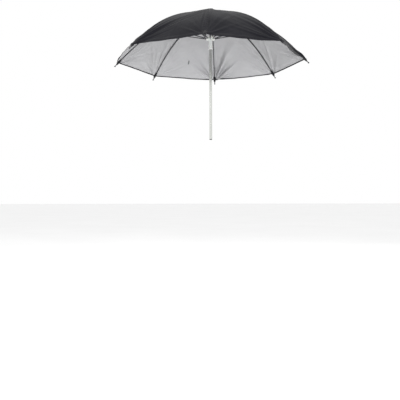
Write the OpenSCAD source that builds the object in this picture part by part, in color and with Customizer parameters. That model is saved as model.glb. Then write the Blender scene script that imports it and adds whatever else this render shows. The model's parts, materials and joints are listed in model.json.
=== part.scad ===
// Folding umbrella reflector: a silver-lined cloth dome on eight spring-steel ribs,
// pushed open by eight stretchers and a sliding runner on a plain round shaft.
// Millimetres. +Z runs up the shaft, and the origin is the shaft's foot, where a bracket grips it.
// Rib 1 lies along +X, and the others follow every 45 degrees towards +Y.

/* [Shaft] */
// Outside diameter of the shaft tube
shaft_d = 8; // [7:0.5:9]
// Wall of the shaft tube
shaft_wall = 0.6; // [0.5:0.1:0.8]
// Height of the tube's upper end
shaft_top = 366; // [364:1:370]
// Length at the foot that a bracket may grip
grip_len = 40; // [30:1:44]

/* [Ribs] */
// Height of the ring that the ribs hinge on
notch_z = 354; // [350:1:356]
// Radius of the two wire rings that ribs and stretchers hinge on
pivot_r = 9; // [9:0.5:10]
// Slope of a rib where it leaves the notch, in degrees below level
rib_slope = 12.5; // [10:0.5:15]
// Lengths of a rib's four bends, from the notch to the tip's ball
rib_len = [75, 75, 78, 78];
// How far each bend turns down, in degrees
rib_turn = [4, 12.2, 12.6, 4.2];
// Width and height of a rib's channel
rib_size = 2.2; // [2:0.1:2.4]
// Distance along the rib from the notch ring to the stretcher's rivet
rivet_at = 126; // [120:1:132]

/* [Runner] */
// Outside diameter of the runner's sleeve
runner_d = 11; // [10.5:0.5:12]
// Length of the runner
runner_len = 33; // [30:1:36]

/* [Canopy] */
// Thickness of a cloth panel's solid
cloth_t = 1; // [0.8:0.1:1.2]
// Distance from the end of a rib to the corner of the cloth
hem_back = 12; // [11:0.5:14]
// How far the hem's middle is cut back from its corners
hem_scallop = 2; // [0:0.5:6]
// How far a panel bulges from straight, as a share of a round dome's bulge
bulge = 0.1; // [0:0.05:0.4]
// Height of the cloth's peak above the notch ring
crown_rise = 9; // [8:0.5:10]

/* [Closing strap] */
// Panel that the strap is sewn to
strap_panel = 3; // [1:1:8]
// Distance from the strap's middle line to the end of the ribs
strap_up = 73; // [60:1:90]
// Width of the strap
strap_w = 15; // [12:1:20]
// Length of the strap folded back on itself
strap_len = 62; // [50:1:70]

/* [Hidden] */
ways = 8;
step = 360 / ways;
metal_t = 0.45;
// how far a rib's bends run into each other, so that the rib is one solid
joint_lap = 0.05;
wire_d = 1;
eye_w = 1.6;
eye_d = 3;
eye_hole = wire_d + 0.3;
eye_bar = 7;
slot_w = eye_w + 0.4;
rivet_d = 1.6;
rivet_hole = rivet_d + 0.16;
fork_in = rib_size + 0.3;
fork_w = fork_in + 2 * metal_t;
rib_total = rib_len[0] + rib_len[1] + rib_len[2] + rib_len[3];
flange_r = pivot_r + 3;
hub_r = 6.4;
hub_top = 6;
plug_len = 9;
plug_lip = 1.2;
plug_chamfer = 0.8;
groove_depth = 0.3;
groove_r = 0.9;
stop_d = 1.6;
stop_above = 1.2;
cap_stem_r = 5.3;
cap_r = 6.3;
cap_side = 3;
cap_dome = 2.6;
cap_z = notch_z + crown_rise + 1;
rosette_t = 0.8;
catch_t = 1.6;
catch_len = 34;
hook_d = 1.4;
window_w = 2.2;
tip_back = 8;
socket_len = 9;
socket_d = 4.6;
socket_bore = 3.4;
neck_d = 2.2;
ball_d = 4;
ear_d = 2.6;
ear_len = 6;

// A place on a rib's centre line is [distance from the shaft's axis, height, slope below level].
function bend(from, run, turn) =
    run == 0 ? from :
    let (radius = run / turn * 180 / PI, slope = from[2] + turn)
    [from[0] + radius * (sin(slope) - sin(from[2])),
     from[1] - radius * (cos(from[2]) - cos(slope)),
     slope];
function bend_start(i) =
    i == 0 ? [pivot_r, notch_z, rib_slope] : bend(bend_start(i - 1), rib_len[i - 1], rib_turn[i - 1]);
function along(s, i = 0) =
    i == len(rib_len) - 1 || s <= rib_len[i]
        ? bend(bend_start(i), s, rib_turn[i] * s / rib_len[i])
        : along(s - rib_len[i], i + 1);

rivet_point = along(rivet_at);
stretcher_run = rivet_point[0] - pivot_r;
stretcher_rise = notch_z - rivet_point[1];
// Rib and stretcher are equal arms, so the runner's ring hangs twice as low as the rivet.
runner_z = notch_z - 2 * stretcher_rise;
stretcher_len = norm([stretcher_run, stretcher_rise]);
stretcher_slope = atan(stretcher_rise / stretcher_run);
runner_top = runner_z + 3;
runner_foot = runner_top - runner_len;
catch_top = runner_foot - 0.3;
catch_foot = catch_top - catch_len;

$fn = 48;

// ---- Shaft ----

// A bar across the shaft, lying along X.
module cross_bar(z, d, len) translate([0, 0, z]) rotate([0, 90, 0]) cylinder(d = d, h = len, center = true);

module shaft_tube() color("silver") difference() {
    cylinder(d = shaft_d, h = shaft_top);
    translate([0, 0, -1]) cylinder(d = shaft_d - 2 * shaft_wall, h = shaft_top + 2);
    // rolled groove that ends the stretch a bracket grips
    translate([0, 0, grip_len + 1]) rotate_extrude()
        translate([shaft_d / 2 + groove_r - groove_depth, 0]) circle(r = groove_r);
    // window for the catch, the hole that its foot hooks into, and the stop pin's hole
    translate([-window_w / 2, 0, catch_foot + 12]) cube([window_w, shaft_d, catch_len - 10.5]);
    cross_bar(catch_foot, hook_d + 0.1, shaft_d + 2);
    cross_bar(runner_top + stop_above, stop_d, shaft_d + 2);
}

module foot_plug() color("dimgray") {
    cylinder(d = shaft_d - 2 * shaft_wall, h = plug_len);
    translate([0, 0, -plug_lip]) cylinder(d = shaft_d - 0.4, h = plug_lip);
    translate([0, 0, -plug_lip - plug_chamfer])
        cylinder(d1 = shaft_d - 2.4, d2 = shaft_d - 0.4, h = plug_chamfer);
}

module stop_pin() color("silver") cross_bar(runner_top + stop_above, stop_d, runner_d - 0.4);

module top_cap() {
    curve_r = (pow(cap_r, 2) + pow(cap_dome, 2)) / (2 * cap_dome);
    height = cap_side + cap_dome;
    color("gainsboro") difference() {
        union() {
            translate([0, 0, notch_z + hub_top]) cylinder(r = cap_stem_r, h = cap_z - notch_z - hub_top);
            translate([0, 0, cap_z]) rotate_extrude() intersection() {
                square([cap_r, height]);
                translate([0, height - curve_r]) circle(r = curve_r);
            }
        }
        translate([0, 0, notch_z]) cylinder(d = shaft_d, h = shaft_top - notch_z);
    }
}

module crown_rosette() color("#26262a") translate([0, 0, notch_z + hub_top + 0.1]) difference() {
    cylinder(r = hub_r + 0.5, h = rosette_t);
    translate([0, 0, -1]) cylinder(r = cap_stem_r + 0.15, h = rosette_t + 2);
}

// ---- Hinge rings ----

// Slotted collar that a wire ring and eight eyes sit in, with the ring's height at 0.
module ring_collar(up, down) difference() {
    translate([0, 0, -down]) cylinder(r = flange_r, h = up + down);
    rotate_extrude() translate([pivot_r - wire_d / 2 - 0.1, -wire_d / 2 - 0.1])
        square([flange_r, wire_d + 0.2]);
    for (i = [0:ways - 1]) rotate([0, 0, i * step])
        translate([pivot_r - eye_d / 2 - 0.4, -slot_w / 2, -down - 1])
            cube([flange_r, slot_w, up + down + 2]);
}

module hinge_wire(z) color("silver")
    translate([0, 0, z]) rotate_extrude() translate([pivot_r, 0]) circle(d = wire_d);

module notch() color("dimgray") difference() {
    union() {
        translate([0, 0, notch_z]) ring_collar(2.4, 3.4);
        translate([0, 0, notch_z - 7]) cylinder(r = hub_r, h = 7 + hub_top);
    }
    translate([0, 0, notch_z - 8]) cylinder(d = shaft_d, h = 20);
}

module notch_wire() hinge_wire(notch_z);

module runner() color("white") difference() {
    union() {
        translate([0, 0, runner_z]) ring_collar(3, 3.6);
        translate([0, 0, runner_foot]) cylinder(d = runner_d, h = runner_len);
        translate([0, 0, runner_foot]) cylinder(d = runner_d + 1.6, h = 2);
        translate([0, 0, runner_foot + 9]) cylinder(d = runner_d + 1, h = 1.6);
    }
    translate([0, 0, runner_foot - 1]) cylinder(d = shaft_d + 0.2, h = runner_len + 2);
}

module runner_wire() hinge_wire(runner_z);

// Sprung catch in the tube, whose tooth stands under the open runner's foot, on the +Y side.
module catch_spring() color("silver") {
    cross_bar(catch_foot, hook_d, shaft_d - 0.6);
    rotate([0, 0, 90]) translate([0, catch_t / 2, catch_foot]) rotate([90, 0, 0])
        linear_extrude(catch_t) polygon([
            [-0.6, 0], [0.6, 0], [2.9, 13.5], [6.4, catch_len - 6],
            [6.4, catch_len], [2.4, catch_len], [2.4, 16]]);
}

// ---- Ribs and stretchers ----

// Sweeps a section, drawn with x outwards and y across the rib, over part of one bend.
module swept(i, from, to) {
    start = bend(bend_start(i), from, rib_turn[i] * from / rib_len[i]);
    turn = rib_turn[i] * (to - from) / rib_len[i];
    radius = rib_len[i] / rib_turn[i] * 180 / PI;
    translate([start[0] - radius * sin(start[2]), 0, start[1] - radius * cos(start[2])])
        rotate([90, 0, 0]) rotate([0, 0, 90 - start[2] - turn])
            rotate_extrude(angle = turn, $fn = 360) translate([radius, 0]) children();
}

// The channel's web is on the cloth's side, and it is open below.
module rib_channel() translate([-rib_size / 2, -rib_size / 2]) difference() {
    square(rib_size);
    translate([-1, metal_t]) square([rib_size + 1 - metal_t, rib_size - 2 * metal_t]);
}

// Puts a child, drawn at the origin with +X outwards along the rib, at a place on the rib.
module on_rib(s) {
    place = along(s);
    translate([place[0], 0, place[1]]) rotate([0, place[2], 0]) children();
}

module eye_end(reach) {
    rotate([90, 0, 0]) cylinder(d = eye_d, h = eye_w, center = true);
    translate([0, -eye_w / 2, -rib_size / 2]) cube([reach, eye_w, rib_size]);
}

module rib(i) color("#303236") rotate([0, 0, (i - 1) * step]) difference() {
    union() {
        swept(0, eye_bar - 1.5, rib_len[0]) rib_channel();
        swept(1, -joint_lap, rib_len[1]) rib_channel();
        swept(2, -joint_lap, rib_len[2]) rib_channel();
        swept(3, -joint_lap, rib_len[3] - tip_back) rib_channel();
        on_rib(0) eye_end(eye_bar);
    }
    on_rib(0) rotate([90, 0, 0]) cylinder(d = eye_hole, h = 4, center = true);
    on_rib(rivet_at) rotate([90, 0, 0]) cylinder(d = rivet_hole, h = 4, center = true);
}

module rib_tip(i) color("#1c1c1e") rotate([0, 0, (i - 1) * step]) {
    on_rib(rib_total - tip_back) rotate([0, 90, 0]) {
        difference() {
            translate([0, 0, -socket_len]) cylinder(d = socket_d, h = socket_len + 1);
            translate([0, 0, -socket_len - 1]) cylinder(d = socket_bore, h = socket_len + 1);
        }
        translate([0, 0, 1]) cylinder(d1 = socket_d - 1, d2 = neck_d, h = 2);
        cylinder(d = neck_d, h = tip_back);
    }
    on_rib(rib_total) sphere(d = ball_d);
}

// A stretcher drawn from the runner's ring, with +X along it towards the rivet.
module on_stretcher(i) rotate([0, 0, (i - 1) * step])
    translate([pivot_r, 0, runner_z]) rotate([0, -stretcher_slope, 0]) children();

module stretcher(i) color("#303236") on_stretcher(i) difference() {
    union() {
        eye_end(eye_bar + 1);
        translate([eye_bar, 0, 0]) difference() {
            translate([0, -fork_w / 2, -rib_size / 2])
                cube([stretcher_len - eye_bar - ear_len + 1, fork_w, rib_size]);
            // open below, so that the folded rib nests in it
            translate([2, -fork_in / 2, -rib_size / 2 - metal_t]) cube([stretcher_len, fork_in, rib_size]);
        }
        for (side = [-1, 1]) translate([0, side * (fork_w - metal_t) / 2, 0]) {
            translate([stretcher_len - ear_len, -metal_t / 2, -rib_size / 2])
                cube([ear_len, metal_t, rib_size]);
            translate([stretcher_len, 0, 0]) rotate([90, 0, 0])
                cylinder(d = ear_d, h = metal_t, center = true);
        }
    }
    rotate([90, 0, 0]) cylinder(d = eye_hole, h = 4, center = true);
    translate([stretcher_len, 0, 0]) rotate([90, 0, 0]) cylinder(d = rivet_d, h = 6, center = true);
}

module stretcher_rivet(i) color("silver") on_stretcher(i) translate([stretcher_len, 0, 0])
    rotate([90, 0, 0]) {
        cylinder(d = rivet_d, h = fork_w, center = true);
        for (side = [0, 1]) mirror([0, 0, side]) translate([0, 0, fork_w / 2]) {
            cylinder(d = ear_d, h = 0.3);
            translate([0, 0, 0.3]) cylinder(d1 = ear_d, d2 = rivet_d, h = 0.35);
        }
    }

// ---- Canopy ----

cloth_under = rib_size / 2 + 1;
// Distances along the ribs of the cloth's rows, from the crown's opening to the hem
inner_row = -3.1;
cloth_rows = concat([inner_row, 1, 6, 12, 20, 34], [for (s = [56:22:260]) s],
    [rib_total - 24, rib_total - 20, rib_total - hem_back]);
crown_end = 24;
cloth_cols = 8;
seam_gap = 0.2;

// The cloth leaves the ribs near the notch and rises to the cap.
function crown_lift(s) = s > crown_end ? 0 :
    (crown_rise - cloth_under - cloth_t) * pow((crown_end - s) / (crown_end - inner_row), 2);
// How far a panel's edge keeps from the rib's plane: clear of the tip's socket near the corner.
function edge_gap(s) = s > rib_total - 22 ? 2.8 : seam_gap;

// A point of the cloth: s along the rib, across from -1 to 1 between its ribs, up from the cloth's underside.
function cloth_point(s, across, up, mid) =
    let (cut = s > rib_total - 20.5 ? hem_scallop * (1 - across * across) : 0,
         place = along(max(s, 0.01) - cut),
         back = min(s, 0),
         off = cloth_under + up,
         r = place[0] + back + off * sin(place[2]),
         z = place[1] + off * cos(place[2]) - back * tan(rib_slope) + crown_lift(s),
         half = r * sin(step / 2) - edge_gap(s),
         chord = r * cos(step / 2),
         bow = (r - chord) * bulge * (1 - across * across),
         y = half * across,
         x = chord + bow)
    [x * cos(mid) - y * sin(mid), x * sin(mid) + y * cos(mid), z];

module canopy_panel(i) {
    mid = (i - 0.5) * step;
    rows = len(cloth_rows);
    wide = cloth_cols + 1;
    points = [for (up = [0, cloth_t]) for (s = cloth_rows) for (c = [0:cloth_cols])
        cloth_point(s, 2 * c / cloth_cols - 1, up, mid)];
    top = rows * wide;
    function at(layer, row, col) = layer * top + row * wide + col;
    color("#2a2a2e") polyhedron(points, concat(
        [for (r = [0:rows - 2]) for (c = [0:cloth_cols - 1]) each [
            [at(1, r, c), at(1, r, c + 1), at(1, r + 1, c + 1)],
            [at(1, r, c), at(1, r + 1, c + 1), at(1, r + 1, c)],
            [at(0, r, c), at(0, r + 1, c + 1), at(0, r, c + 1)],
            [at(0, r, c), at(0, r + 1, c), at(0, r + 1, c + 1)]]],
        [for (r = [0:rows - 2]) each [
            [at(0, r, 0), at(1, r, 0), at(1, r + 1, 0)],
            [at(0, r, 0), at(1, r + 1, 0), at(0, r + 1, 0)],
            [at(0, r, cloth_cols), at(1, r + 1, cloth_cols), at(1, r, cloth_cols)],
            [at(0, r, cloth_cols), at(0, r + 1, cloth_cols), at(1, r + 1, cloth_cols)]]],
        [for (c = [0:cloth_cols - 1]) each [
            [at(0, 0, c), at(0, 0, c + 1), at(1, 0, c + 1)],
            [at(0, 0, c), at(1, 0, c + 1), at(1, 0, c)],
            [at(0, rows - 1, c), at(1, rows - 1, c + 1), at(0, rows - 1, c + 1)],
            [at(0, rows - 1, c), at(1, rows - 1, c), at(1, rows - 1, c + 1)]]]));
}

// ---- Closing strap: sewn to one panel by its end, folded back on its hook-and-loop patch ----

strap_row = rib_total - strap_up;

// A box lying on the strap's panel, from its sewn end round towards the next rib.
module on_cloth(lift, t, from, to, w) {
    mid = (strap_panel - 0.5) * step;
    reach = along(strap_row)[0] * sin(step / 2);
    cuts = 6;
    up = [lift, lift + t];
    across = [for (k = [0:cuts]) (from + (to - from) * k / cuts) / reach];
    points = [for (a = across) for (u = up) for (s = [strap_row - w / 2, strap_row + w / 2])
        cloth_point(s, a, cloth_t + u, mid)];
    polyhedron(points, concat(
        [for (k = [0:cuts - 1]) for (f = [[0, 1, 5, 4], [1, 3, 7, 5], [3, 2, 6, 7], [2, 0, 4, 6]])
            each [[4 * k + f[0], 4 * k + f[2], 4 * k + f[1]], [4 * k + f[0], 4 * k + f[3], 4 * k + f[2]]]],
        [[0, 3, 1], [0, 2, 3]],
        [[4 * cuts, 4 * cuts + 1, 4 * cuts + 3], [4 * cuts, 4 * cuts + 3, 4 * cuts + 2]]));
}

module closing_strap() color("#202024") {
    on_cloth(0.4, 0.8, -2, strap_len, strap_w);
    on_cloth(2.2, 0.8, strap_len - 34, strap_len, strap_w);
}

module strap_patch() color("#17171a") on_cloth(1.3, 0.8, strap_len - 32, strap_len - 4, strap_w - 2);

for (i = [1:ways]) {
    rib(i);
    rib_tip(i);
    stretcher(i);
    stretcher_rivet(i);
    canopy_panel(i);
}
shaft_tube();
foot_plug();
stop_pin();
top_cap();
crown_rosette();
notch();
notch_wire();
runner();
runner_wire();
catch_spring();
closing_strap();
strap_patch();
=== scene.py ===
"""Folding umbrella reflector: sewn cloth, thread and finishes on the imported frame.
Metres throughout. +Z runs up the shaft, and rib 1 lies along +X. `s` is a distance along a rib from the
notch's ring, and `u` runs across a gore from -1 at its first rib to 1 at the next."""
import json
import math

import bpy
import numpy as np
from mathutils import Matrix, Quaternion, Vector


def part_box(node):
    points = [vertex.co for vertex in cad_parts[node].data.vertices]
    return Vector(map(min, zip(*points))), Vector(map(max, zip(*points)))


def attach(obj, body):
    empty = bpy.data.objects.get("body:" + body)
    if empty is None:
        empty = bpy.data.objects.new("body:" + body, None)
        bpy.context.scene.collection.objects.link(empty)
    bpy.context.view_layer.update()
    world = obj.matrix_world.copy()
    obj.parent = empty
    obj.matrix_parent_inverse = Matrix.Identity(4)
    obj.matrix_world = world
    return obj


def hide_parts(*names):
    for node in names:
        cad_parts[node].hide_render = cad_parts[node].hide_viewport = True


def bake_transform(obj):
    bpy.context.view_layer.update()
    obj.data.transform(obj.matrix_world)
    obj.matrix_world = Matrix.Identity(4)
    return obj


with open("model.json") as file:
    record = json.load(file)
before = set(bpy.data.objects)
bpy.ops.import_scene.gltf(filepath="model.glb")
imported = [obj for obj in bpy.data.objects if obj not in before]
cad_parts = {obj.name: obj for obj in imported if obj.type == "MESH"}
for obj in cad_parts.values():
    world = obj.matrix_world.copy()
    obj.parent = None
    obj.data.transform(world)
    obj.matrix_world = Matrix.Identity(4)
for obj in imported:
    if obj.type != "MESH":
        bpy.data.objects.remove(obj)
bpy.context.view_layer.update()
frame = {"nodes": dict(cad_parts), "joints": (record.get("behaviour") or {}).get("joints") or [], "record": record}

MM = 0.001
WAYS = 8
STEP = 2 * math.pi / WAYS

joints = {joint["name"]: joint for joint in frame["joints"]}
PIVOT_R, _, NOTCH_Z = joints["rib_1_fold"]["pos_m"]

# ---- The ribs' curve, as the frame has it ----
RIB_SLOPE = math.radians(12.5)
RIB_BENDS = ((75 * MM, 4.0), (75 * MM, 12.2), (78 * MM, 12.6), (78 * MM, 4.2))
RIB_LENGTH = sum(length for length, turn in RIB_BENDS)

# ---- The cloth ----
CLOTH_T = 0.3 * MM
# from a rib's centre line to the cloth's inner face, and the same over the thicker tip socket
CLOTH_OVER_RIB = 1.6 * MM
CLOTH_OVER_SOCKET = 2.7 * MM
SOCKET_FROM = RIB_LENGTH - 30 * MM
SOCKET_FULL = RIB_LENGTH - 18 * MM
# where the cloth starts under the cap, and the hill it makes over the notch until CROWN_END
CROWN_INNER = -3.1 * MM
CROWN_END = 24 * MM
CROWN_RISE = 6.4 * MM
CROWN_CLOTH_END = 16 * MM
GORE_START = 13 * MM
HEM_AT = RIB_LENGTH - 12 * MM
# how far the middle of a hem is cut back, how wide the hem is turned, and how far its turned layer stands in
HEM_CUT = 2 * MM
HEM_BAND = 3.5 * MM
HEM_EXTRA = 0.35 * MM
# the share of the bow of a full circle that the cloth keeps between two ribs
BOW = 0.1


def rib_line(s):
    """Radius, height and slope below level of a rib's centre line."""
    s = np.asarray(s, float)
    radius = np.full(s.shape, PIVOT_R)
    height = np.full(s.shape, NOTCH_Z)
    slope = np.full(s.shape, RIB_SLOPE)
    start = 0.0
    for length, turn in RIB_BENDS:
        bend = length / math.radians(turn)
        after = slope + np.clip(s - start, 0, length) / bend
        radius = radius + bend * (np.sin(after) - np.sin(slope))
        height = height - bend * (np.cos(slope) - np.cos(after))
        slope = after
        start += length
    back = np.minimum(s, 0)
    return radius + back, height - back * math.tan(RIB_SLOPE), slope


def smooth(x, low, high):
    """0 below low, 1 above high, and an even S between them."""
    t = np.clip((x - low) / (high - low), 0, 1)
    return t * t * (3 - 2 * t)


def unit(vectors):
    """The same directions with a length of 1."""
    return vectors / np.linalg.norm(vectors, axis=-1, keepdims=True)


def area_of(points):
    """The area of a grid of points, quad by quad."""
    sides = np.cross(points[1:, :-1] - points[:-1, :-1], points[:-1, 1:] - points[:-1, :-1])
    return float(np.linalg.norm(sides, axis=-1).sum())


def half_width(s):
    """Half the way across a gore at s, between its two ribs."""
    return rib_line(s)[0] * math.sin(STEP / 2)


# ---- Folds and wrinkles of one gore ----

# how far the middle of each gore's hem stands out, or in where negative, from the line between its tips
HEM_LEAN = [lean * MM for lean in (-4, -5, -5, -3, 3.5, -4, -6, -9)]
LEAN_REACH = 95 * MM
# how much deeper than the others the folds beside a slack seam are, by gore and side
SLACK_SEAMS = {(7, -1): 2.6, (6, 1): 1.8, (4, 1): 1.6}
# how much higher than the others, or lower where below 1, the folds from a corner stand, by gore and side
CORNER_PULL = {(2, 1): 3.0, (3, -1): 2.6, (2, -1): 1.5, (5, -1): 1.3, (8, 1): 1.2,
               (6, 1): 0.65, (7, -1): 0.65, (7, 1): 0.7, (8, -1): 0.7}
CORNER_INSET = 4 * MM
NARROWEST_FOLD = 3.2 * MM
GATHER_REACH = 60 * MM
BILLOW = 0.35 * MM
SAG = 1.2 * MM
CREASE, CREASE_W = 0.35 * MM, 1.6 * MM
HEM_WAVE, HEM_WAVE_LENGTH = 0.35 * MM, 9 * MM
PUCKER, PUCKER_REACH = 0.22 * MM, 5 * MM
# beside a seam, a valley whose line sways, and a lower ridge after it
VALLEY_AT, VALLEY_SWAY, VALLEY_W, VALLEY_DEPTH = 7 * MM, 2.5 * MM, 2.6 * MM, 0.75 * MM
RIDGE_AFTER, RIDGE_W, RIDGE_SHARE = 6 * MM, 3.4 * MM, 0.6
# the crown stays smooth until the first of these, and the folds are whole from the second
FOLDS_FROM, FOLDS_FULL = 14 * MM, 30 * MM
# how near a seam the folds die out
SEAM_HOLD = 7 * MM


def gore_folds(gore):
    """The gore's own folds: those that spread from its two corners, and its gathers at the crown."""
    draw = np.random.RandomState(40 + gore)
    corners = []
    for side in (-1, 1):
        angle = 0.04
        pull = CORNER_PULL.get((gore, side), 1)
        for k in range(8):
            angle += draw.uniform(0.07, 0.19)
            corners.append(dict(
                side=side,
                angle=angle,
                width=draw.uniform(0.035, 0.07) * (0.75 + 0.25 * pull),
                reach=draw.uniform(0.03, 0.055) * (1.3 if k < 4 else 0.8),
                height=draw.uniform(1.2, 2.6) * MM * (1 if draw.rand() < 0.5 else -0.8) * pull))
    gathers = [(draw.uniform(-0.92, 0.92), draw.uniform(0.04, 0.1), draw.uniform(0.5, 1.2) * MM)
               for k in range(9)]
    billows = [(draw.uniform(1.2, 3.0), draw.uniform(0, 6.3), draw.uniform(0.8, 2.6), draw.uniform(0, 6.3))
               for k in range(4)]
    return corners, gathers, billows, draw.uniform(0, 6.3, 4)


FOLDS = {gore: gore_folds(gore) for gore in range(1, WAYS + 1)}


def hump(x, at, width):
    """1 at `at`, falling off evenly on both sides."""
    return np.exp(-((x - at) / width) ** 2)


def corner_folds(s, u, corners):
    """The ridges and valleys that spread from the gore's two corners."""
    off = np.zeros(s.shape)
    for fold in corners:
        along = np.maximum(HEM_AT - s, 0) + CORNER_INSET
        across = half_width(s) * (1 - fold["side"] * u)
        distance = np.hypot(along, across)
        width = np.hypot(fold["width"], NARROWEST_FOLD / distance)
        ridge = hump(np.arctan2(across, along), fold["angle"], width)
        reach = distance / fold["reach"]
        off += fold["height"] * ridge * reach ** 2 * np.exp(2 - 2 * reach)
    return off


def seam_folds(s, u, gore, phase):
    """The long folds that lie beside each seam."""
    off = np.zeros(s.shape)
    for side in (-1, 1):
        beside = half_width(s) * (1 - side * u)
        sway = VALLEY_AT + VALLEY_SWAY * np.sin(s / (41 * MM) + phase[3] + side)
        depth = VALLEY_DEPTH * (0.55 + 0.45 * np.sin(s / (27 * MM) + phase[0] * side))
        depth = depth * SLACK_SEAMS.get((gore, side), 1)
        valley = hump(beside, sway, VALLEY_W)
        ridge = RIDGE_SHARE * hump(beside, sway + RIDGE_AFTER, RIDGE_W)
        off += depth * (ridge - valley) * smooth(s, 30 * MM, 60 * MM)
    return off


def wrinkle(s, u, gore):
    """How far the cloth stands off its smooth shape, outwards."""
    corners, gathers, billows, phase = FOLDS[gore]
    half = half_width(s)
    from_seam = half * (1 - np.abs(u))
    off = corner_folds(s, u, corners)
    for at, width, height in gathers:
        fade = smooth(s, 15 * MM, 38 * MM) * np.exp(-np.maximum(s, 0) / GATHER_REACH)
        off += height * hump(u, at, width) * fade
    for long_waves, long_phase, cross_waves, cross_phase in billows:
        off += BILLOW * (np.sin(2 * np.pi * long_waves * s / RIB_LENGTH + long_phase)
                         * np.sin(cross_waves * u * 2 + cross_phase))
    off += seam_folds(s, u, gore, phase)
    # the crease left by folding the gore in half
    off += CREASE * hump(half * u, 0, CREASE_W) * smooth(s, 40 * MM, 90 * MM)
    # the hem's slight wave
    off += HEM_WAVE * np.sin(half * u / HEM_WAVE_LENGTH + phase[0]) * smooth(s, HEM_AT - 22 * MM, HEM_AT)
    # the way the hem's middle leans in or out, since only its ends are held
    off += HEM_LEAN[gore - 1] * (1 - u * u) * np.clip(1 - (HEM_AT - s) / LEAN_REACH, 0, 1) ** 2
    # the sag of a stretched gore between its ribs
    off -= SAG * (1 - u * u) * np.sin(np.clip(s / HEM_AT, 0, 1) * np.pi)
    off *= smooth(from_seam, 0, SEAM_HOLD) * smooth(s, FOLDS_FROM, FOLDS_FULL)
    # puckers where the thread draws the seam in
    pucker = PUCKER * (np.sin(s / (1.9 * MM) + phase[1]) + 0.6 * np.sin(s / (3.1 * MM) + phase[2]))
    pucker = pucker * smooth(s, FOLDS_FROM, FOLDS_FULL)
    return off + pucker * smooth(from_seam, 0, 2 * MM) * np.exp(-from_seam / PUCKER_REACH)


def smooth_cloth(s, u, gore):
    """The cloth's inner face without wrinkles."""
    cut = HEM_CUT * (1 - u * u) * smooth(s, HEM_AT - 90 * MM, HEM_AT)
    radius, height, slope = rib_line(s - cut)
    over = CLOTH_OVER_RIB + (CLOTH_OVER_SOCKET - CLOTH_OVER_RIB) * smooth(s, SOCKET_FROM, SOCKET_FULL)
    rise = CROWN_RISE * (np.clip(CROWN_END - s, 0, None) / (CROWN_END - CROWN_INNER)) ** 2
    radius = radius + over * np.sin(slope)
    height = height + over * np.cos(slope) + rise
    chord = radius * math.cos(STEP / 2)
    out = chord + (radius - chord) * BOW * (1 - u * u)
    side = radius * math.sin(STEP / 2) * u
    middle = (gore - 0.5) * STEP
    return np.stack([out * math.cos(middle) - side * math.sin(middle),
                     out * math.sin(middle) + side * math.cos(middle), height], -1)


def cloth(s, u, gore, lift=0.0):
    """A place on the cloth, `lift` outwards from its inner face."""
    s, u = np.broadcast_arrays(np.asarray(s, float), np.asarray(u, float))
    tiny = 0.2 * MM
    along = smooth_cloth(s + tiny, u, gore) - smooth_cloth(s - tiny, u, gore)
    across = smooth_cloth(s, u + 0.002, gore) - smooth_cloth(s, u - 0.002, gore)
    normal = unit(np.cross(along, across))
    return smooth_cloth(s, u, gore) + normal * (wrinkle(s, u, gore) + lift)[..., None]


def outward_of(s, u, gore):
    """The cloth's outward direction at a place on it."""
    return unit(cloth(s, u, gore, 1 * MM) - cloth(s, u, gore))


def by_seam(rib, s, aside, lift):
    """A place on the cloth near a rib: `aside` from the seam, towards the next rib where it is positive."""
    s, aside, lift = np.broadcast_arrays(np.asarray(s, float), np.asarray(aside, float),
                                         np.asarray(lift, float))
    share = np.abs(aside) / half_width(s)
    before = cloth(s, 1 - share, (rib - 2) % WAYS + 1, lift)
    after = cloth(s, share - 1, rib, lift)
    return np.where((aside < 0)[..., None], before, after)


# ---- Meshes ----

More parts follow.
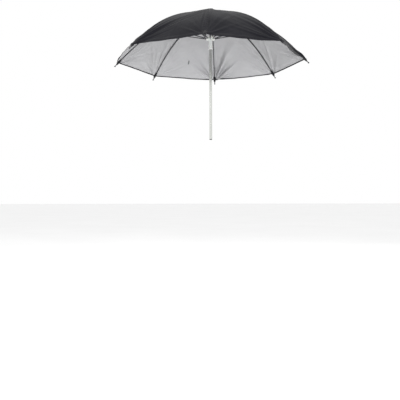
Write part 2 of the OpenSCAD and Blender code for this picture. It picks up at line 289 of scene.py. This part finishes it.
class Shape:
    """Collects points, faces, each face's material and each point's cloth coordinates."""

    def __init__(self):
        self.points, self.faces, self.slots, self.coords = [], [], [], []

    def add_points(self, points, coords=None):
        start = sum(len(p) for p in self.points)
        points = np.asarray(points, float).reshape(-1, 3)
        coords = np.zeros((len(points), 2)) if coords is None else np.asarray(coords, float).reshape(-1, 2)
        self.points.append(points)
        self.coords.append(coords)
        return start

    def face(self, corners, slot=0):
        self.faces.append([int(c) for c in corners])
        self.slots.append(slot)

    def grid(self, points, slot=0, coords=None, flip=False, closed=False, looped=False):
        """Joins rows of points into quads. slot is a number, or a number for each row of quads.
        closed joins each row's end to its start, and looped joins the last row to the first."""
        rows, cols = points.shape[:2]
        start = self.add_points(points, coords)
        for r in range(rows if looped else rows - 1):
            material = slot if isinstance(slot, int) else int(slot[r])
            row, above = start + r * cols, start + (r + 1) % rows * cols
            for c in range(cols if closed else cols - 1):
                after = (c + 1) % cols
                corners = [row + c, row + after, above + after, above + c]
                self.face([corners[k] for k in (0, 3, 2, 1)] if flip else corners, material)
        return start

    def strip(self, first, second, slot=0, flip=False):
        """Joins two lines of points that are already in the shape."""
        for a, b, c, d in zip(first, first[1:], second[1:], second):
            self.face([d, c, b, a] if flip else [a, b, c, d], slot)

    def close_edges(self, top, low, rows, cols, slot=0):
        """Joins the edges of two grids that lie one over the other."""
        index = np.arange(rows * cols).reshape(rows, cols)
        for edge, flip in ((index[0], True), (index[-1], False), (index[:, 0], False), (index[:, -1], True)):
            self.strip(top + edge, low + edge, slot, flip)

    def tube(self, rings, slot=0, coords=None):
        """Joins closed rings of points into a tube, and caps its ends."""
        count, around = rings.shape[:2]
        start = self.grid(rings, slot, coords, closed=True, flip=True)
        last = start + (count - 1) * around
        self.face(range(start, start + around), slot)
        self.face(range(last + around - 1, last - 1, -1), slot)

    def piece(self, name, materials):
        mesh = bpy.data.meshes.new(name)
        mesh.from_pydata(np.concatenate(self.points).tolist(), [], self.faces)
        for material in materials:
            mesh.materials.append(material)
        mesh.polygons.foreach_set("material_index", self.slots)
        mesh.polygons.foreach_set("use_smooth", [True] * len(self.faces))
        coords = np.concatenate(self.coords)
        layer = mesh.uv_layers.new(name="cloth")
        corner = np.zeros(len(mesh.loops), np.int32)
        mesh.loops.foreach_get("vertex_index", corner)
        layer.data.foreach_set("uv", coords[corner].astype(np.float32).ravel())
        mesh.update()
        obj = bpy.data.objects.new(name, mesh)
        bpy.context.scene.collection.objects.link(obj)
        return obj


# a stitch's profile: share of its length, share of its radius, and lift in radii
STITCH = ((0.0, 0.35, -0.9), (0.22, 1.0, 0.1), (0.5, 1.0, 0.35), (0.78, 1.0, 0.1), (1.0, 0.35, -0.9))
STITCH_SIDES = 5


def thread(shape, places, outward, slot, radius=0.22 * MM, stitch=2.8 * MM, gap=0.8 * MM):
    """Sews a running stitch along a line of places: short spindles that dip into the cloth."""
    places, outward = np.asarray(places), np.asarray(outward)
    steps = np.linalg.norm(np.diff(places, axis=0), axis=1)
    run = np.concatenate([[0], np.cumsum(steps)])
    count = int(run[-1] // (stitch + gap))
    turn = np.arange(STITCH_SIDES) * 2 * np.pi / STITCH_SIDES
    for k in range(count):
        at = k * (stitch + gap) + gap / 2 + stitch * np.array([p[0] for p in STITCH])
        line = np.stack([np.interp(at, run, places[:, i]) for i in range(3)], -1)
        up = np.stack([np.interp(at, run, outward[:, i]) for i in range(3)], -1)
        aside = unit(np.cross(unit(np.gradient(line, axis=0)), up))
        rings = []
        for i, (_, size, lift) in enumerate(STITCH):
            ring = (np.cos(turn)[:, None] * aside[i] + np.sin(turn)[:, None] * up[i]) * radius * size
            rings.append(line[i] + up[i] * lift * radius + ring)
        shape.tube(np.array(rings), slot)


# ---- Materials ----

# how fine the noise is, in waves to a metre, for a hard finish's shade, its roughness and its grain
SHADE_SCALE, WEAR_SCALE, GRAIN_SCALE = 60.0, 140.0, 260.0
# the same for a drawn tube's marks: fine across X and Y, and long down Z
DRAWN_MARKS = (3500, 3500, 6)


def node(tree, kind, **values):
    """A shader node with its own settings and its sockets' values set by name."""
    made = tree.nodes.new(kind)
    for key, value in values.items():
        if hasattr(made, key):
            setattr(made, key, value)
        else:
            made.inputs[key.replace("_", " ")].default_value = value
    return made


def finish_of(name, color, roughness, metallic=0.0, **sockets):
    """A Principled material with its even values set on the shader's own sockets."""
    material = bpy.data.materials.new(name)
    material.use_nodes = True
    tree = material.node_tree
    shader = tree.nodes["Principled BSDF"]
    shader.inputs["Base Color"].default_value = (*color, 1)
    shader.inputs["Roughness"].default_value = roughness
    shader.inputs["Metallic"].default_value = metallic
    for key, value in sockets.items():
        shader.inputs[key.replace("_", " ")].default_value = value
    return material, tree, shader


def vary(tree, shader, coordinates, scale, low, high):
    """Lets the colour drift between two shades."""
    noise = node(tree, "ShaderNodeTexNoise", Scale=scale, Detail=4.0)
    tree.links.new(coordinates, noise.inputs["Vector"])
    ramp = node(tree, "ShaderNodeValToRGB")
    ramp.color_ramp.elements[0].position = 0.32
    ramp.color_ramp.elements[1].position = 0.68
    ramp.color_ramp.elements[0].color = (*low, 1)
    ramp.color_ramp.elements[1].color = (*high, 1)
    tree.links.new(noise.outputs["Fac"], ramp.inputs["Fac"])
    tree.links.new(ramp.outputs["Color"], shader.inputs["Base Color"])


def roughen(tree, shader, coordinates, scale, low, high):
    """Lets the roughness drift between two values."""
    noise = node(tree, "ShaderNodeTexNoise", Scale=scale, Detail=5.0)
    tree.links.new(coordinates, noise.inputs["Vector"])
    spread = node(tree, "ShaderNodeMapRange")
    spread.inputs["To Min"].default_value = low
    spread.inputs["To Max"].default_value = high
    tree.links.new(noise.outputs["Fac"], spread.inputs["Value"])
    tree.links.new(spread.outputs["Result"], shader.inputs["Roughness"])


def weave_of(tree, coordinates, pitch):
    """The height of a plain weave of threads `pitch` apart."""
    heights = []
    for direction in ("X", "Y"):
        wave = node(tree, "ShaderNodeTexWave", bands_direction=direction, Scale=math.pi / (10 * pitch),
                    Distortion=0.4)
        wave.inputs["Detail Scale"].default_value = 0.4
        tree.links.new(coordinates, wave.inputs["Vector"])
        heights.append(wave.outputs["Fac"])
    joined = node(tree, "ShaderNodeMath", operation="MAXIMUM")
    tree.links.new(heights[0], joined.inputs[0])
    tree.links.new(heights[1], joined.inputs[1])
    return joined.outputs["Value"]


def bump(tree, shader, height, strength, distance):
    made = node(tree, "ShaderNodeBump", Strength=strength, Distance=distance)
    tree.links.new(height, made.inputs["Height"])
    tree.links.new(made.outputs["Normal"], shader.inputs["Normal"])


def cloth_finish(name, low, high, roughness, metallic, pitch, **sockets):
    """Woven cloth: two shades, threads, and roughness that drifts."""
    material, tree, shader = finish_of(name, high, roughness, metallic, **sockets)
    uv = node(tree, "ShaderNodeUVMap", uv_map="cloth").outputs["UV"]
    vary(tree, shader, uv, 14.0, low, high)
    roughen(tree, shader, uv, 30.0, roughness - 0.06, roughness + 0.06)
    bump(tree, shader, weave_of(tree, uv, pitch), 0.35, 0.08 * MM)
    return material


def solid_finish(name, low, high, roughness, metallic=0.0, **sockets):
    """A hard finish with a fine grain, and a drift of shade and roughness."""
    material, tree, shader = finish_of(name, high, roughness, metallic, **sockets)
    place = node(tree, "ShaderNodeTexCoord").outputs["Object"]
    vary(tree, shader, place, SHADE_SCALE, low, high)
    roughen(tree, shader, place, WEAR_SCALE, roughness - 0.05, roughness + 0.05)
    grains = node(tree, "ShaderNodeTexNoise", Scale=GRAIN_SCALE, Detail=3.0)
    tree.links.new(place, grains.inputs["Vector"])
    bump(tree, shader, grains.outputs["Fac"], 0.05, 0.2 * MM)
    return material


def drawn_metal(name, low, high, roughness):
    """Plated metal with fine marks drawn along the piece's Z, and a drift of shade."""
    material, tree, shader = finish_of(name, high, roughness, 1.0)
    place = node(tree, "ShaderNodeTexCoord").outputs["Object"]
    stretch = node(tree, "ShaderNodeMapping")
    stretch.inputs["Scale"].default_value = DRAWN_MARKS
    tree.links.new(place, stretch.inputs["Vector"])
    vary(tree, shader, place, 40.0, low, high)
    marks = node(tree, "ShaderNodeTexNoise", Scale=1.0, Detail=1.0)
    tree.links.new(stretch.outputs["Vector"], marks.inputs["Vector"])
    spread = node(tree, "ShaderNodeMapRange")
    spread.inputs["To Min"].default_value = roughness - 0.05
    spread.inputs["To Max"].default_value = roughness + 0.08
    tree.links.new(marks.outputs["Fac"], spread.inputs["Value"])
    tree.links.new(spread.outputs["Result"], shader.inputs["Roughness"])
    bump(tree, shader, marks.outputs["Fac"], 0.006, 0.05 * MM)
    return material


CANOPY_WEAVE = 0.5 * MM
BLACK_CLOTH = cloth_finish("black_canopy_cloth", (0.0055, 0.0055, 0.0073), (0.0085, 0.0085, 0.011), 0.48,
                           0.0, CANOPY_WEAVE, Sheen_Weight=0.005, Sheen_Roughness=0.4,
                           Specular_IOR_Level=0.06)
SILVER_CLOTH = cloth_finish("silver_coated_cloth", (0.285, 0.285, 0.293), (0.328, 0.328, 0.336), 0.44,
                            0.25, CANOPY_WEAVE, Sheen_Weight=0.03)
WEBBING = cloth_finish("black_webbing", (0.008, 0.008, 0.0095), (0.014, 0.014, 0.016), 0.75, 0.0,
                       1.1 * MM, Sheen_Weight=0.05, Specular_IOR_Level=0.15)
HOOK_TAPE = cloth_finish("hook_and_loop", (0.010, 0.010, 0.011), (0.022, 0.022, 0.023), 0.9, 0.0,
                         1.6 * MM, Sheen_Weight=0.1, Specular_IOR_Level=0.1)
THREAD = solid_finish("sewing_thread", (0.012, 0.012, 0.014), (0.025, 0.025, 0.028), 0.7,
                      Sheen_Weight=0.05, Specular_IOR_Level=0.2)
SHAFT_METAL = drawn_metal("plated_tube", (0.66, 0.67, 0.64), (0.70, 0.71, 0.68), 0.2)
BRIGHT_STEEL = drawn_metal("bright_steel", (0.50, 0.50, 0.50), (0.64, 0.64, 0.64), 0.3)
RIB_STEEL = solid_finish("dark_enamelled_steel", (0.035, 0.036, 0.040), (0.065, 0.067, 0.072), 0.34, 0.35,
                         Coat_Weight=0.2)
RUNNER_PLASTIC = solid_finish("white_moulded_plastic", (0.56, 0.56, 0.545), (0.62, 0.62, 0.605), 0.36,
                              Subsurface_Weight=0.05)
CAP_PLASTIC = solid_finish("pale_moulded_plastic", (0.66, 0.67, 0.67), (0.74, 0.75, 0.75), 0.42)
BLACK_PLASTIC = solid_finish("black_moulded_plastic", (0.012, 0.012, 0.013), (0.022, 0.022, 0.024), 0.42)

SLOT_FINISH = {
    "shaft_metal": SHAFT_METAL,
    "bright_steel": BRIGHT_STEEL,
    "rib_steel": RIB_STEEL,
    "runner_plastic": RUNNER_PLASTIC,
    "cap_plastic": CAP_PLASTIC,
    "black_plastic": BLACK_PLASTIC,
    "canopy_cloth": BLACK_CLOTH,
    "strap_web": WEBBING,
    "hook_tape": HOOK_TAPE,
}


def finish_frame():
    """Gives every CAD node its slot's finish."""
    slot_of = {part["node"]: part["material_slot"] for part in frame["record"]["subparts"]}
    for name, obj in frame["nodes"].items():
        obj.data.materials.clear()
        obj.data.materials.append(SLOT_FINISH[slot_of[name]])


# ---- Sewn pieces ----

BLACK, SILVER, SEWING = 0, 1, 2


def share_by_azimuth(piece, gore):
    middle = (gore - 0.5) * STEP
    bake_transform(piece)
    points = np.array([v.co for v in piece.data.vertices])
    away = np.arctan2(points[:, 1], points[:, 0]) - middle
    away = (away + np.pi) % (2 * np.pi) - np.pi


def gore_rows(start, hem):
    """Distances along the gore, a little closer towards the hem and much closer in the hem's band."""
    body = start + (hem - 9 * MM - start) * np.linspace(0, 1, 112) ** 0.8
    fold = HEM_BAND / MM
    band = hem - np.array([6.5, fold + 0.7, fold, fold - 0.5, 1.8, 0.8, 0.3, 0]) * MM
    return np.concatenate([body, band])


def gore_cols():
    """Places across the gore, closer together near its seams."""
    even = np.linspace(-1, 1, 73)
    return even + 0.55 * np.sin(even * np.pi) / np.pi


def canopy_gore(gore):
    """One gore: black outside, silver inside, with a narrow hem turned in and sewn."""
    shape = Shape()
    s, u = np.meshgrid(gore_rows(GORE_START, HEM_AT), gore_cols(), indexing="ij")
    coords = np.stack([half_width(s) * u, s], -1)
    band = smooth(s, HEM_AT - HEM_BAND - 0.4 * MM, HEM_AT - HEM_BAND + 0.2 * MM)
    rim = smooth(s, HEM_AT - 0.9 * MM, HEM_AT)
    outer = cloth(s, u, gore, CLOTH_T - 0.2 * MM * rim)
    inner = cloth(s, u, gore, -HEM_EXTRA * band * (1 - rim))
    in_band = s[:-1, 0] > HEM_AT - HEM_BAND - 0.3 * MM
    top = shape.grid(outer, BLACK, coords)
    low = shape.grid(inner, np.where(in_band, BLACK, SILVER), coords, flip=True)
    shape.close_edges(top, low, *s.shape, BLACK)
    sewn = HEM_AT - HEM_BAND + 0.9 * MM
    across = np.linspace(-0.96, 0.96, 160)
    up = outward_of(sewn, across, gore)
    thread(shape, cloth(sewn, across, gore, CLOTH_T), up, SEWING)
    thread(shape, cloth(sewn, across, gore, -HEM_EXTRA), -up, SEWING)
    if gore == STRAP_GORE:
        strap_stitches(shape)
    piece = shape.piece(f"canopy_gore_{gore}", [BLACK_CLOTH, SILVER_CLOTH, THREAD])
    share_by_azimuth(piece, gore)
    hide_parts(f"canopy_panel_{gore}")


# the crown's lobes, by turns: how many half gores they reach to each side, how far the outer face lifts, how
# far the sides of the end draw back, and where the inner face lies
OVER_LOBE = (1.42, 0.34 * MM, 8 * MM, -0.06 * MM)
UNDER_LOBE = (1.16, 0.12 * MM, 3 * MM, -0.12 * MM)
FELLED_RIDGE = 0.42 * MM


def crown_cloth(rib):
    """The cloth round the crown, from under the cap to the gores, a lobe at a time about a rib. Every other
    lobe is wider and lies on top, so that each lobe overlaps its neighbours."""
    reach, lift, fall, inner = UNDER_LOBE if rib % 2 else OVER_LOBE
    shape = Shape()
    v, t = np.meshgrid(np.linspace(0, 1, 24), np.linspace(-reach, reach, 57), indexing="ij")
    end = CROWN_CLOTH_END - fall * smooth(np.abs(t), 0.85, reach)
    s = CROWN_INNER + v * (end - CROWN_INNER)
    before, after = (rib - 2) % WAYS + 1, rib

    def layer(height):
        return np.where((t < 0)[..., None], cloth(s, 1 + t, before, height), cloth(s, t - 1, after, height))

    edge = smooth(s, end - 1.2 * MM, end)
    felled = FELLED_RIDGE * (1 - smooth(np.abs(t) * half_width(s), 0.9 * MM, 1.9 * MM))
    coords = np.stack([half_width(s) * t, s], -1)
    top = shape.grid(layer(CLOTH_T + lift * (1 - 0.8 * edge) + felled), BLACK, coords)
    low = shape.grid(layer(inner + 0.3 * MM * edge), SILVER, coords, flip=True)
    shape.close_edges(top, low, *s.shape, BLACK)
    piece = shape.piece(f"crown_cloth_{rib}", [BLACK_CLOTH, SILVER_CLOTH])
    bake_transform(piece)
    area = area_of(layer(0.0))


# the seam's section in mm, as places aside and heights: the ridge off the outer face, the tape off the inner
SEAM_RIDGE = ((-1.9, -0.12), (-1.4, 0.28), (-0.6, 0.42), (0, 0.45), (0.6, 0.42), (1.4, 0.28), (1.9, -0.12))
SEAM_TAPE = ((2.4, -0.06), (2.2, -0.24), (0.9, -0.26), (-0.9, -0.26), (-2.2, -0.24), (-2.4, -0.06))
TAPE_FACE = -0.26 * MM


def gore_seam(rib):
    """The felled seam over a rib: a low ridge outside, and a silver tape inside with its two stitch lines."""
    shape = Shape()
    s = np.linspace(GORE_START - 0.5 * MM, HEM_AT - 0.5 * MM, 110)
    rise = CLOTH_T + 0.04 * MM * np.sin(s / (0.9 * MM))
    top = np.stack([by_seam(rib, s, y * MM, rise + h * MM) for y, h in SEAM_RIDGE], 1)
    low = np.stack([by_seam(rib, s, y * MM, h * MM) for y, h in SEAM_TAPE], 1)
    ring = np.concatenate([top, low], 1)
    coords = np.stack(np.broadcast_arrays(np.arange(ring.shape[1])[None, :] * 0.6 * MM, s[:, None]), -1)
    start = shape.add_points(ring, coords)
    rows, cols = ring.shape[:2]
    for r in range(rows - 1):
        for c in range(cols):
            a, b = start + r * cols + c, start + r * cols + (c + 1) % cols
            silver = len(SEAM_RIDGE) <= c < cols - 1
            shape.face([a, b, b + cols, a + cols], SILVER if silver else BLACK)
    shape.face(range(start + cols - 1, start - 1, -1), BLACK)
    shape.face(range(start + (rows - 1) * cols, start + rows * cols), BLACK)
    for y in (-1.75, 1.75):
        line = s[4:-3]
        down = unit(by_seam(rib, line, y * MM, -1 * MM) - by_seam(rib, line, y * MM, 0))
        thread(shape, by_seam(rib, line, y * MM, TAPE_FACE), down, SEWING, radius=0.17 * MM)
    piece = shape.piece(f"gore_seam_{rib}", [BLACK_CLOTH, SILVER_CLOTH, THREAD])
    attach(piece, f"rib_{rib}")


def rib_frame(rib, s):
    """A rib's centre at s, and the directions along it, aside from it and off its back."""
    radius, height, slope = rib_line(s)
    turn = (rib - 1) * STEP
    out = np.array([math.cos(turn), math.sin(turn), 0])
    up = np.array([0, 0, 1.0])
    slope = np.asarray(slope)[..., None]
    centre = np.asarray(radius)[..., None] * out + np.asarray(height)[..., None] * up
    ahead = np.cos(slope) * out - np.sin(slope) * up
    normal = np.sin(slope) * out + np.cos(slope) * up
    aside = np.array([-math.sin(turn), math.cos(turn), 0])
    return centre, ahead, aside, normal


# a pocket's rings, in mm: place from the rib's end, half-width, height as a share of it, and lift off the rib
POCKET_RINGS = ((-27, 2.0, 0.75, 0.6), (-24, 3.2, 0.84, 0.6), (-20, 3.5, 0.92, 0.58), (-16, 3.45, 0.97, 0.56),
                (-13, 3.25, 1, 0.55), (-11, 3.05, 1.04, 0.55), (-10.2, 2.95, 1.04, 0.52),
                (-10, 2.75, 1.02, 0.45), (-10.4, 2.55, 1, 0.2), (-12, 2.5, 1, 0.1))
POCKET_WIDEN = 1.08
POCKET_SEWN = RIB_LENGTH - 12.2 * MM


def tip_pocket(rib):
    """The black cloth pocket sewn into a corner of the canopy, which the rib's tip sits in."""
    shape = Shape()
    stations, sizes, flat, lifts = np.array(POCKET_RINGS).T
    stations, sizes, lifts = stations * MM + RIB_LENGTH, sizes * MM, lifts * MM
    turns = np.linspace(0, 2 * np.pi, 28, endpoint=False)
    centre, _, aside, normal = rib_frame(rib, stations)
    draw = np.random.RandomState(90 + rib)
    ripple = 1 + 0.03 * np.sin(turns * 5 + draw.uniform(0, 6.3))
    rings = []
    for i, size in enumerate(sizes):
        ring = (np.cos(turns)[:, None] * aside * size * POCKET_WIDEN
                + np.sin(turns)[:, None] * normal[i] * size * flat[i]) * ripple[:, None]
        rings.append(centre[i] + normal[i] * lifts[i] + ring)
    coords = np.stack(np.broadcast_arrays(turns[None, :] * 3 * MM, stations[:, None]), -1)
    shape.tube(np.array(rings), 0, coords)
    around = np.linspace(0, 2 * np.pi, 60)
    centre, _, aside, normal = rib_frame(rib, POCKET_SEWN)
    out = np.cos(around)[:, None] * aside + np.sin(around)[:, None] * normal
    places = centre + normal * 0.54 * MM + out * 3.3 * MM
    thread(shape, places, out, 1, radius=0.2 * MM, stitch=1.7 * MM, gap=0.6 * MM)
    piece = shape.piece(f"tip_pocket_{rib}", [WEBBING, THREAD])
    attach(piece, f"rib_{rib}")


TIE_STATIONS = (86 * MM, 172 * MM, 246 * MM)
TIE_TURNS = 4
TIE_PITCH = 0.55 * MM
TIE_R = 0.24 * MM
# the loop's half-width about a rib, and its reach over the rib's back and under its belly
TIE_HALF, TIE_OVER, TIE_UNDER = 1.3 * MM, 1.42 * MM, 1.32 * MM


def tie_loop():
    """A rounded square about a rib, as places aside and off its back."""
    box = []
    for turn in np.linspace(0, 2 * np.pi, 24, endpoint=False):
        x, z = math.cos(turn), math.sin(turn)
        reach = (abs(x) ** 5 + abs(z) ** 5) ** (-1 / 5)
        box.append((x * reach * TIE_HALF, z * reach * (TIE_OVER if z > 0 else TIE_UNDER)))
    return box


def rib_ties(rib):
    """The threads that tie the seam's tape to the rib at three places."""
    shape = Shape()
    turns = np.linspace(0, 2 * np.pi, 6, endpoint=False)
    for station in TIE_STATIONS:
        for k in range(TIE_TURNS):
            at = station + (k - (TIE_TURNS - 1) / 2) * TIE_PITCH
            centre, ahead, aside, normal = rib_frame(rib, at)
            line = np.array([centre + aside * x + normal * z for x, z in tie_loop()])
            out = np.cross(unit(np.roll(line, -1, 0) - np.roll(line, 1, 0)), ahead)
            rings = (line[:, None] + TIE_R * (np.cos(turns)[None, :, None] * out[:, None]
                                              + np.sin(turns)[None, :, None] * ahead))
            shape.grid(rings, 0, closed=True, looped=True)
    piece = shape.piece(f"rib_ties_{rib}", [THREAD])
    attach(piece, f"rib_{rib}")


# ---- Closing strap ----

STRAP_GORE = 3
STRAP_AT = RIB_LENGTH - 73 * MM
STRAP_W = 15 * MM
STRAP_FROM = -2 * MM
STRAP_TO = 62 * MM
STRAP_RETURN = 28 * MM
STRAP_T = 0.9 * MM
STRAP_ARCH, ARCH_UNTIL = 0.35 * MM, 30 * MM
# a tape's rounded section, its top and then its underside, as shares of its half-width and half-thickness
TAPE_SIDE = ((-1, 0), (-0.985, 0.5), (-0.94, 0.85), (-0.8, 1), (-0.4, 0.97), (0, 1), (0.4, 0.97), (0.8, 1),
             (0.94, 0.85), (0.985, 0.5), (1, 0))
TAPE_BACK = ((0.985, -0.5), (0.94, -0.85), (0.8, -1), (0, -1), (-0.8, -1), (-0.94, -0.85), (-0.985, -0.5))


def on_strap(across, along, lift):
    """A place on the strap's gore: across from its middle, along the ribs from the strap's middle line."""
    reach = float(half_width(STRAP_AT))
    return cloth(STRAP_AT + along, across / reach, STRAP_GORE, CLOTH_T + lift)


def ribbon(path, width, thickness):
    """A flat tape along a path of (across, lift) points, with rounded edges."""
    shape = Shape()
    path = np.array(path)
    run = np.concatenate([[0], np.cumsum(np.linalg.norm(np.diff(path, axis=0), axis=1))])
    ahead = unit(np.gradient(path, axis=0))
    side = np.stack([-ahead[:, 1], ahead[:, 0]], -1)
    edge = np.array(TAPE_SIDE + TAPE_BACK)
    rings = []
    for place, off in zip(path, side):
        across = place[0] + off[0] * edge[:, 1] * thickness / 2
        lift = place[1] + off[1] * edge[:, 1] * thickness / 2
        rings.append(on_strap(across, edge[:, 0] * width / 2, lift))
    coords = np.stack(np.broadcast_arrays(edge[None, :, 0] * width / 2, run[:, None]), -1)
    shape.tube(np.array(rings), 0, coords)
    return shape


def strap_path():
    """From the sewn end out along the cloth, round a soft fold, and back over the hook-and-loop patch."""
    low, high, bend = 0.75 * MM, 2.95 * MM, 1.1 * MM
    middle, half = (low + high) / 2, (high - low) / 2
    fold = STRAP_TO - bend
    out = []
    for x in np.linspace(STRAP_FROM, fold, 40):
        # it arches up a little, up to where its own end lies on it
        arch = math.sin((x - STRAP_FROM) / (STRAP_TO - STRAP_FROM) * math.pi) ** 2
        out.append((x, low + (STRAP_ARCH * arch if x < ARCH_UNTIL else 0)))
    turn = [(fold + bend * math.sin(a), middle - half * math.cos(a))
            for a in np.linspace(0.2, math.pi - 0.2, 9)]
    back = [(x, high + 0.15 * MM * math.sin(x / (4 * MM)))
            for x in np.linspace(fold, fold - STRAP_RETURN, 20)]
    return out + turn + back


def closing_strap():
    """The strap's tape with its sewn end, and the patch that holds its folded end."""
    shape = ribbon(strap_path(), STRAP_W, STRAP_T)
    for end in (STRAP_FROM + 1.2 * MM, STRAP_FROM + 7 * MM):
        along = np.linspace(-STRAP_W / 2 + 1.2 * MM, STRAP_W / 2 - 1.2 * MM, 30)
        places = on_strap(end, along, 1.2 * MM)
        up = unit(on_strap(end, along, 2.2 * MM) - places)
        thread(shape, places, up, 1, stitch=2 * MM, gap=0.5 * MM)
    tape = shape.piece("closing_strap_tape", [WEBBING, THREAD])
    share_by_azimuth(tape, STRAP_GORE)
    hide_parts("closing_strap")
    path = [(x, 1.85 * MM) for x in np.linspace(STRAP_TO - 30 * MM, STRAP_TO - 4 * MM, 24)]
    patch = ribbon(path, STRAP_W - 2 * MM, 1.2 * MM).piece("strap_hook_patch", [HOOK_TAPE])
    share_by_azimuth(patch, STRAP_GORE)
    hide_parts("strap_patch")


def strap_stitches(shape):
    """The rows of stitches that sew the strap's end down, seen on the silver side."""
    reach = float(half_width(STRAP_AT))
    for x in (-1.6, -0.6, 0.4, 1.4):
        s = STRAP_AT + np.linspace(-7.2, 7.2, 40) * MM
        u = np.full(40, (STRAP_FROM + 3 * MM + x * MM) / reach)
        thread(shape, cloth(s, u, STRAP_GORE, -0.05 * MM), -outward_of(s, u, STRAP_GORE), SEWING,
               radius=0.48 * MM, stitch=2.2 * MM, gap=0.3 * MM)


# ---- Crown ----

# the washer's section in mm, as radius and height from its middle
WASHER_SECTION = ((5.5, 0.25), (6.2, 0.28), (6.8, 0.22), (7.0, 0), (6.8, -0.22), (6.2, -0.28), (5.5, -0.25))
WASHER_INNER, WASHER_OUTER = 5.5, 7.0
WASHER_WAVES = 11


def crown_washer():
    """The wavy cloth ring between the notch and the crown's cloth."""
    shape = Shape()
    low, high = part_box("crown_rosette")
    turns = np.linspace(0, 2 * np.pi, 96, endpoint=False)
    middle = (low.z + high.z) / 2
    rings = []
    for radius, lift in WASHER_SECTION:
        outer = (radius - WASHER_INNER) / (WASHER_OUTER - WASHER_INNER)
        r = (radius + 0.18 * outer * np.sin(turns * WASHER_WAVES)) * MM
        z = middle + (lift + 0.14 * outer * np.cos(turns * WASHER_WAVES)) * MM
        rings.append(np.stack([r * np.cos(turns), r * np.sin(turns), z], -1))
    run = np.arange(len(rings)) * 0.7 * MM
    coords = np.stack(np.broadcast_arrays(turns[None, :] * 6 * MM, run[:, None]), -1)
    shape.grid(np.array(rings), 0, coords, closed=True, looped=True)
    piece = shape.piece("crown_cloth_washer", [WEBBING])
    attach(piece, "frame")
    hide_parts("crown_rosette")


# ---- Room, light and camera ----

GROUND_Z = -0.595
FLOOR_HALF = 30.0
AIMED_AT = Vector((0, 0, 0.25))


def room():
    """A plain pale floor far below the shaft's foot, since a stand holds the part up by its shaft."""
    shape = Shape()
    shape.add_points([(x * FLOOR_HALF, y * FLOOR_HALF, GROUND_Z)
                      for x, y in ((-1, -1), (1, -1), (1, 1), (-1, 1))])
    shape.face(range(4))
    material, tree, shader = finish_of("pale_floor", (0.9, 0.9, 0.9), 0.9, Specular_IOR_Level=0.1)
    place = node(tree, "ShaderNodeTexCoord").outputs["Object"]
    vary(tree, shader, place, 1.5, (0.89, 0.89, 0.89), (0.91, 0.91, 0.91))
    shape.piece("floor", [material])
    world = bpy.data.worlds.new("studio")
    world.use_nodes = True
    world.node_tree.nodes["Background"].inputs["Color"].default_value = (1, 1, 1, 1)
    world.node_tree.nodes["Background"].inputs["Strength"].default_value = 1.0
    bpy.context.scene.world = world


def lamp(name, place, size, power, mirrored=True):
    """A square soft light aimed at the canopy. Polished pieces show it only where it is mirrored."""
    data = bpy.data.lights.new(name, "AREA")
    data.size = size
    data.energy = power
    obj = bpy.data.objects.new(name, data)
    obj.location = place
    obj.visible_glossy = mirrored
    obj.rotation_mode = "QUATERNION"
    obj.rotation_quaternion = (AIMED_AT - Vector(place)).to_track_quat("-Z", "Y")
    bpy.context.scene.collection.objects.link(obj)


def camera():
    """A little below the shaft's foot, and looking almost level."""
    heading, tilt, roll = math.radians(-3.98), math.radians(-0.41), math.radians(-0.16)
    data = bpy.data.cameras.new("camera")
    data.sensor_width = 36.0
    data.lens = 50.4
    obj = bpy.data.objects.new("camera", data)
    ahead = Vector((math.sin(heading) * math.cos(tilt), math.cos(heading) * math.cos(tilt), math.sin(tilt)))
    obj.location = (0.0783, -1.5679, -0.1593)
    obj.rotation_mode = "QUATERNION"
    obj.rotation_quaternion = ahead.to_track_quat("-Z", "Y") @ Quaternion((0, 0, 1), roll)
    bpy.context.scene.collection.objects.link(obj)
    bpy.context.scene.camera = obj


finish_frame()
for number in range(1, WAYS + 1):
    canopy_gore(number)
    crown_cloth(number)
    gore_seam(number)
    tip_pocket(number)
    rib_ties(number)
closing_strap()
crown_washer()
room()
lamp("key", (-2.2, -1.6, 1.6), 1.2, 40)
lamp("front", (0.9, -2.6, 0.1), 1.2, 95, mirrored=False)
lamp("back", (1.2, 2.0, 2.0), 1.6, 30, mirrored=False)
camera()
bpy.context.scene.view_settings.view_transform = "Standard"
